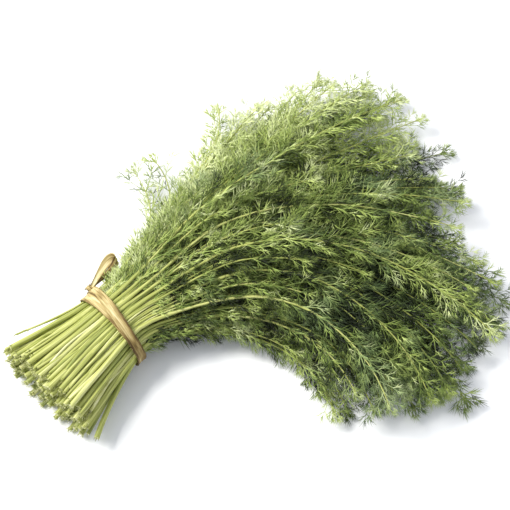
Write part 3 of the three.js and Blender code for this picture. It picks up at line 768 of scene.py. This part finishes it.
# %% The stalks of the bundle
def tint_of(stalk, chance):
    """Painted light and shade, lighter on the left and on top, darker below, and a random
    difference.
    """
    left = 0.26 * smooth((-stalk.side - 0.75) / 0.25)  # the right edge sees the light too
    left += 0.08 * stalk.side + 0.54 * smooth((stalk.side - 0.25) / 0.6) - 0.3 * stalk.stray
    return max(0.03, -0.07 + left + 0.45 * stalk.rise**1.6 + chance.normal(0, 0.1))


BUNDLE_SEED = 1300
stalks = bundle()
total_triangles, most = 0, 0
for first in range(0, len(stalks), 2):
    chance = np.random.default_rng(BUNDLE_SEED + first)
    skins, leaves = [], []
    for stalk in stalks[first:first + 2]:
        base = tint_of(stalk, chance)
        skins.append(stalk_skin(stalk, chance))
        leaves += side_branches(stalk, chance, base)
    number = first // 2 + 1
    node_name = f"leafy_stems_{number:02d}"
    name = f"dill_stalks_{number:02d}"
    made = piece_of(name, [skins, leaves], [stem, leaf], [node_name])
    total_triangles, most = total_triangles + made, max(most, made)
print(len(stalks), "stalks,", total_triangles, "triangles, most in one piece", most)

# %% [markdown]
# ## The thinner stalks between
# A real bunch also has thinner leaves that fill the gaps between the stout ones, and young ones
# no longer than a hand, which stick out of the raffia on both sides, some of them only just. A
# few slim ones reach past the stout ones at the edge, a few have worked loose at the cut end, and
# two leaves bend away on the left. All follow the same rules from places between the layers, and
# add to the fullness without a solid of their own.

# %% The slim stalks and the young ones
def extra_stalks(name, indices, place, reach, thick, thin, wander, cut_back=(0, 7)):
    """One piece of slim stalks, drawn by place, reach and cut_back from their own generator."""
    chance = np.random.default_rng(900 + indices[0])
    skins, leaves = [], []
    for index in indices:
        stalk = Stalk(index, *place(chance), bool(index % 2))
        stalk.stray = False
        stalk.reach = min(stalk.reach, reach(chance))
        stalk.cut += chance.uniform(*cut_back)
        size = thick * chance.uniform(0.8, 1.2)
        skins.append(stalk_skin(stalk, chance, slim_stalk, size, wander))
        leaves += side_branches(stalk, chance, tint_of(stalk, chance), thin)
    return piece_of(name, [skins, leaves], [stem, leaf], [])


def anywhere(chance):
    a, r = chance.uniform(0, 2 * math.pi), math.sqrt(chance.uniform(0, 1))
    return 25.5 * r * math.cos(a), 15 * r * math.sin(a)


def near_the_top(chance):
    a, r = math.radians(chance.uniform(-15, 195)), chance.uniform(0.72, 1)
    return 26.5 * r * math.cos(a), 16 * r * math.sin(a)


OUTERMOST = [(-0.6, -8, 302), (-3, 0, 295), (6.3, 0, 274), (6, 8, 284), (15, -8, 284),
             (12, 0, 266), (-25.4, -5, 150), (-26.2, 2, 118)]  # across, height, reach


def outer_stalks(name):
    """Slim stalks whose tips stick out furthest between the stout ones."""
    chance = np.random.default_rng(88)
    skins, leaves = [], []
    for index, (across, height, reach) in enumerate(OUTERMOST):
        stalk = Stalk(800 + index, across, height, True)
        stalk.reach, stalk.cut = reach, stalk.cut + 6
        stalk.lay_out(across)
        skins.append(stalk_skin(stalk, chance, slim_stalk, 0.75, 0.4))
        leaves += side_branches(stalk, chance, tint_of(stalk, chance), 1.15)
    return piece_of(name, [skins, leaves], [stem, leaf], [])


LOOSE_ENDS = [(27.5, 2, 5, -52), (27, -3, 3, -60), (26, 6, 5, -45)]  # across, height, splay, cut


def loose_ends(name):
    """Thin stalks without leaf that have worked loose at the cut end."""
    chance = np.random.default_rng(66)
    skins = []
    for index, (across, height, splay, cut) in enumerate(LOOSE_ENDS):
        stalk = Stalk(850 + index, across, height, False)
        stalk.stray, stalk.reach, stalk.splay, stalk.cut = False, 30, splay, cut
        skins.append(stalk_skin(stalk, chance, slim_stalk, 0.5, 0.5))
    return piece_of(name, [skins], [stem], [])


LOOSE_LEAVES = [(25.8, 199, 42, 116, 80), (26, 134, 62, 54, 60)]


def wisps(name):
    """Loose leaves at the left edge, which bend away from the rest: place across, reach, curl in
    degrees, and where the curl starts and how long it is."""
    chance = np.random.default_rng(77)
    skins, leaves = [], []
    for index, (across, reach, curl, start, length) in enumerate(LOOSE_LEAVES):
        stalk = Stalk(600 + index, across, 3 * index, reach > 180)
        stalk.reach, stalk.curl, stalk.curl_start, stalk.curl_length = reach, curl, start, length
        stalk.lay_out(across)
        skins.append(stalk_skin(stalk, chance, slim_stalk, 0.7, 0.4))
        leaves += side_branches(stalk, chance, tint_of(stalk, chance), 1.1)
    return piece_of(name, [skins, leaves], [stem, leaf], [])


def stalk_group(kind, pieces, first, in_one, *looks):
    """Several pieces of one kind, with the same number of stalks in each."""
    starts = [first + in_one * k for k in range(pieces)]
    names = [f"dill_{kind}_stalks_{k + 1}" for k in range(pieces)]
    return sum(
        extra_stalks(name, range(start, start + in_one), *looks)
        for name, start in zip(names, starts)
    )


NO_LIMIT = 400  # a reach that no stalk has
slim_total = stalk_group("slim", 3, 200, 6, anywhere, lambda chance: NO_LIMIT, 0.75, 1.1, 0.4)
slim_total += outer_stalks("dill_outer_stalks")
young_total = stalk_group("young", 5, 300, 12, near_the_top,
                          lambda chance: chance.uniform(45, 95), 0.62, 1.3, 0.55)
wisps_total = wisps("dill_loose_leaf_wisps") + loose_ends("dill_loose_ends")
young_total += extra_stalks("dill_bare_stalks", range(400, 450), near_the_top,
                            lambda chance: chance.uniform(10, 40), 0.5, 1.5, 0.7, (2, 18))
print("triangles: slim stalks", slim_total, "young stalks", young_total, "wisps", wisps_total)

# %% [markdown]
# ## The raffia
# Raffia is a strip peeled from a young palm leaf: flat, a few millimetres wide, full of straight
# fibres, and curled a little at its edges where it has dried. One strip goes round the stalks
# twice, is knotted on the left, and its end is turned back in a loop. So the flat strip is
# modelled once, as a thin sheet with many cuts along it, and is then laid along each route.

# %% The strip
STRIP_CUTS, STRIP_FIBRES = 84, 9
TURN_THICKNESS, TAIL_THICKNESS = 0.5, 0.6  # mm; the tail makes the knot and the loop

grid = {"x_subdivisions": STRIP_CUTS, "y_subdivisions": STRIP_FIBRES, "size": 1}
bpy.ops.object.select_all(action="DESELECT")
bpy.ops.mesh.primitive_grid_add(location=(0.5, 0, 0), **grid)
piece = bpy.context.object
bpy.ops.object.transform_apply(location=True)
sheet = piece.modifiers.new("thickness", "SOLIDIFY")
sheet.thickness, sheet.offset = 1, 0
bpy.ops.object.modifier_apply(modifier="thickness")
strip_blank = shape_of(piece)
print("strip:", triangles(strip_blank), "triangles")


def strip(places, outs, wides, width, thickness, seed, cup=0.35, tint=0.0):
    """Lays the flat strip along places. outs point out of its upper face, wides across it."""
    u, y, z = strip_blank.corners.T
    share = np.linspace(0, 1, len(places))
    length = np.linalg.norm(np.diff(places, axis=0), axis=1).sum()
    at, out, wide = (
        np.stack([np.interp(u, share, part[:, k]) for k in range(3)], axis=1)
        for part in (places, outs, wides)
    )
    waist = np.interp(u, np.linspace(0, 1, len(np.atleast_1d(width))), np.atleast_1d(width))
    waist = waist * (1 + 0.06 * np.sin(u * length / 7 + seed) + 0.03 * np.sin(u * length / 2.3))
    fibres = 0.16 * np.sin(y * 21 + 2.2 * np.sin(u * length / 19 + seed))
    fibres += 0.09 * np.sin(y * 47 + u * length / 6 + 2 * seed)
    lift = cup * (2 * y) ** 2 + fibres
    corners = at + wide * (y * waist)[:, None] + out * ((z + 0.5) * thickness + lift)[:, None]
    aged_or_shaded = np.interp(u, np.linspace(0, 1, len(np.atleast_1d(tint))), np.atleast_1d(tint))
    made = strip_blank.moved(corners, cut=smooth((np.abs(y) - 0.3) * 6), tint=aged_or_shaded)
    made.flat = np.stack([u * length, y * waist + 9 * seed, z], axis=1)
    return made


# %% Two turns round the stalks
HOLE_WIDTH, HOLE_HEIGHT, SKEW, PARTING = 59.2, 39.6, 4, 0.8
KNOT_ANGLE, KNOT_STANDOFF = 14, 2.2  # degrees, mm
TURN_SHIFT = 3.5  # of each turn along the stalks, one way or the other
# The tint along each turn from its start by the knot: a little lighter over the top, darker from
# the right end on and round the rest of the turn.
TURN_TINT_ANGLES, TURN_TINTS = [20, 70, 120, 175], [0.04, 0.06, -0.06, -0.14]  # to the right


def ring_point(angle, stand_off, shift):
    """A point of the oval round the stalks: 0 degrees is its left end, 90 its top."""
    a = np.radians(angle)
    parted = smooth((np.cos(a) + PARTING) / (1 + PARTING))
    at = np.outer((HOLE_WIDTH / 2 + stand_off) * np.cos(a), LEFT)
    at += np.outer(SKEW * np.cos(a) + shift * parted, ALONG)
    at[:, 2] = TIE_HEIGHT + (HOLE_HEIGHT / 2 + stand_off) * np.sin(a)
    return at + TIE, np.outer(np.cos(a), LEFT) + np.outer(np.sin(a), UP)


def turn(start, end, stand_off, shift, width, seed):
    angle = np.linspace(start, end, 90)
    at, outs = ring_point(angle, stand_off, shift)
    tint = np.interp(angle, TURN_TINT_ANGLES, TURN_TINTS)
    return strip(at, outs, np.tile(ALONG, (90, 1)), width, TURN_THICKNESS, seed, tint=tint)


strips = [
    turn(KNOT_ANGLE - 4, KNOT_ANGLE + 368, 0.3, -TURN_SHIFT, 7.0, 0.7),
    turn(KNOT_ANGLE - 6, KNOT_ANGLE + 366, 0.9, 3.4, [6.4, 7.2, 6.8, 6.6], 2.1),
]

# %% The knot and the loop
LOOP_LENGTH, LOOP_GAPE, LOOP_LEAN = 29, 2.2, 0.14
knot_at = ring_point(np.array([KNOT_ANGLE]), KNOT_STANDOFF, TURN_SHIFT)[0][0]
loop_way = unit(ALONG + LOOP_LEAN * LEFT)
loop_side = np.cross(UP, loop_way)

for turn_of_knot, (radius, width, seed) in enumerate(((1.9, 3.2, 0.3), (2.4, 2.4, 1.7))):
    a = np.linspace(0.2, 2 * math.pi + 0.6, 90) + 2 * turn_of_knot
    outs = np.outer(np.cos(a), loop_side) + np.outer(np.sin(a), UP)
    slant = np.outer(np.linspace(-1.3, 1.3, 90) * (1 - 2 * turn_of_knot), loop_way)
    at, wides = knot_at + outs * radius + slant, np.tile(loop_way, (90, 1))
    strips.append(strip(at, outs, wides, width, TAIL_THICKNESS, seed))

a = np.linspace(0.42, 2 * math.pi - 0.55, 120)
loop = knot_at + np.outer((1 - np.cos(a)) / 2 * LOOP_LENGTH, loop_way)
loop += np.outer(np.sin(a) * (1 - np.cos(a)) * LOOP_GAPE, loop_side)
loop[:, 2] += 2.2 * np.sin(a / 2) ** 2
ahead = unit(np.gradient(loop, axis=0))
level = unit(np.cross(UP, ahead))
lean = np.radians(82) * (1 - np.exp(-(((a - math.pi) / 0.5) ** 2)))  # on edge at its far end
lean = np.where(a < math.pi, lean, -0.6 * lean)
wides = np.outer(np.cos(lean), UP) + level * np.sin(lean)[:, None]
outs = np.cross(ahead, wides)
# The loop's tint is a little lighter along its way out; its far end and the way back are painted
# darker, as painted shade inside the fold.
widths, tints = [2.4, 3.6, 5.4, 7.2, 7.6, 6.2, 4.2, 3.2, 2.4], [0.05, 0.1, 0.1, -0.1, -0.2, -0.2]
strips.append(strip(loop, outs, wides, widths, TAIL_THICKNESS, 4.4, cup=0.6, tint=tints))

# %% Loose fibres along its edges
LOOSE_FIBRES, FIBRE_RADIUS = 46, 0.14
HAIR_LENGTH, HAIR_RADIUS = 22, 0.22
chance = np.random.default_rng(55)
origins, ways, lengths = [], [], []
for _ in range(LOOSE_FIBRES):
    angle, hand = np.array([chance.triangular(20, 178, 182)]), chance.choice([-1, 1])
    at, out = ring_point(angle, 1.2, chance.choice([-TURN_SHIFT, TURN_SHIFT]))
    origins.append(at[0] + ALONG * hand * chance.uniform(2.6, 3.4))
    round_it = np.cross(ALONG, out[0])
    way = ALONG * hand * chance.uniform(0.15, 0.7) + round_it * chance.choice([-1, 1])
    ways.append(way + out[0] * 0.15)
    lengths.append(chance.uniform(1.5, 5))
fibre_frames = frames_along(np.array(ways), np.array(lengths), np.full(len(ways), FIBRE_RADIUS))
fibre_tints = chance.normal(0, 0.1, len(ways))
strips.append(plain_thread.copies(fibre_frames, np.array(origins), fibre_tints))
share = np.linspace(0, 1, 12)
hair = knot_at + np.outer(share * HAIR_LENGTH, loop_way)
hair = hair + np.outer(3.4 * np.sin(share * 2.4), loop_side)
hair[:, 2] += 2 * share
strips.append(bent(rib, hair, np.full(12, HAIR_RADIUS), 0.1))

tie_triangles = piece_of("raffia_wrapped_tie", [strips], [raffia], ["raffia_tie"])
print("raffia:", tie_triangles, "triangles")

# %% [markdown]
# ## The table, the light and the camera
# The bunch lies on a plain white table under a wide soft light from behind and to the left, with
# a bright room all round. The camera looks down at it from a little over an arm's length.

# %% Table
bpy.ops.object.select_all(action="DESELECT")
bpy.ops.mesh.primitive_plane_add(size=8, location=(0, 0, -0.0002))
table = bpy.context.object
table.name = "table"
white, shader = new_material("table_white_laminate")
shader.inputs["Base Color"].default_value = linear("#f7f8fa")
shader.inputs["Roughness"].default_value = 0.6
table.data.materials.append(white)

# %% Camera
AZIMUTH, ELEVATION, DISTANCE = math.radians(-27), math.radians(60), 0.9  # m
PIXELS, PIXEL = 510, 0.68 * MM  # the frame's width, and what one covers at that distance
TIE_RIGHT, TIE_DOWN = 114.5, 327  # where the raffia's middle is in the frame, in pixels
SENSOR = 36  # mm
back = np.array([
    math.sin(AZIMUTH) * math.cos(ELEVATION),
    -math.cos(AZIMUTH) * math.cos(ELEVATION),
    math.sin(ELEVATION),
])
right = np.array([math.cos(AZIMUTH), math.sin(AZIMUTH), 0])
upwards = np.cross(back, right)
tie_centre = TIE * MM + UP * TIE_HEIGHT * MM
aim = tie_centre + right * (PIXELS / 2 - TIE_RIGHT) * PIXEL
aim = aim + upwards * (TIE_DOWN - PIXELS / 2) * PIXEL
bpy.ops.object.camera_add()
camera = bpy.context.object
camera.location = aim + back * DISTANCE
camera.rotation_euler = Vector(back).to_track_quat("Z", "Y").to_euler()
camera.data.sensor_width = SENSOR
camera.data.lens = SENSOR * DISTANCE / (PIXELS * PIXEL)
bpy.context.scene.camera = camera

# %% Light
def soft_light(name, place, size, power, colour="#ffffff"):
    bpy.ops.object.light_add(type="AREA", location=place)
    lamp = bpy.context.object
    lamp.name = name
    lamp.data.size, lamp.data.energy, lamp.data.color = size, power, linear(colour)[:3]
    lamp.rotation_euler = Vector(place).to_track_quat("Z", "Y").to_euler()


soft_light("window", (-0.9, 0.9, 1.5), 0.9, 52, "#fffdf6")
soft_light("fill", (0.9, -0.6, 1.4), 1.2, 3, "#f2f6ff")
world = bpy.data.worlds.new("room")
bpy.context.scene.world = world
world.use_nodes = True
world.node_tree.nodes["Background"].inputs["Color"].default_value = linear("#f4f7ff")
world.node_tree.nodes["Background"].inputs["Strength"].default_value = 0.7
bpy.context.scene.view_settings.view_transform = "Standard"
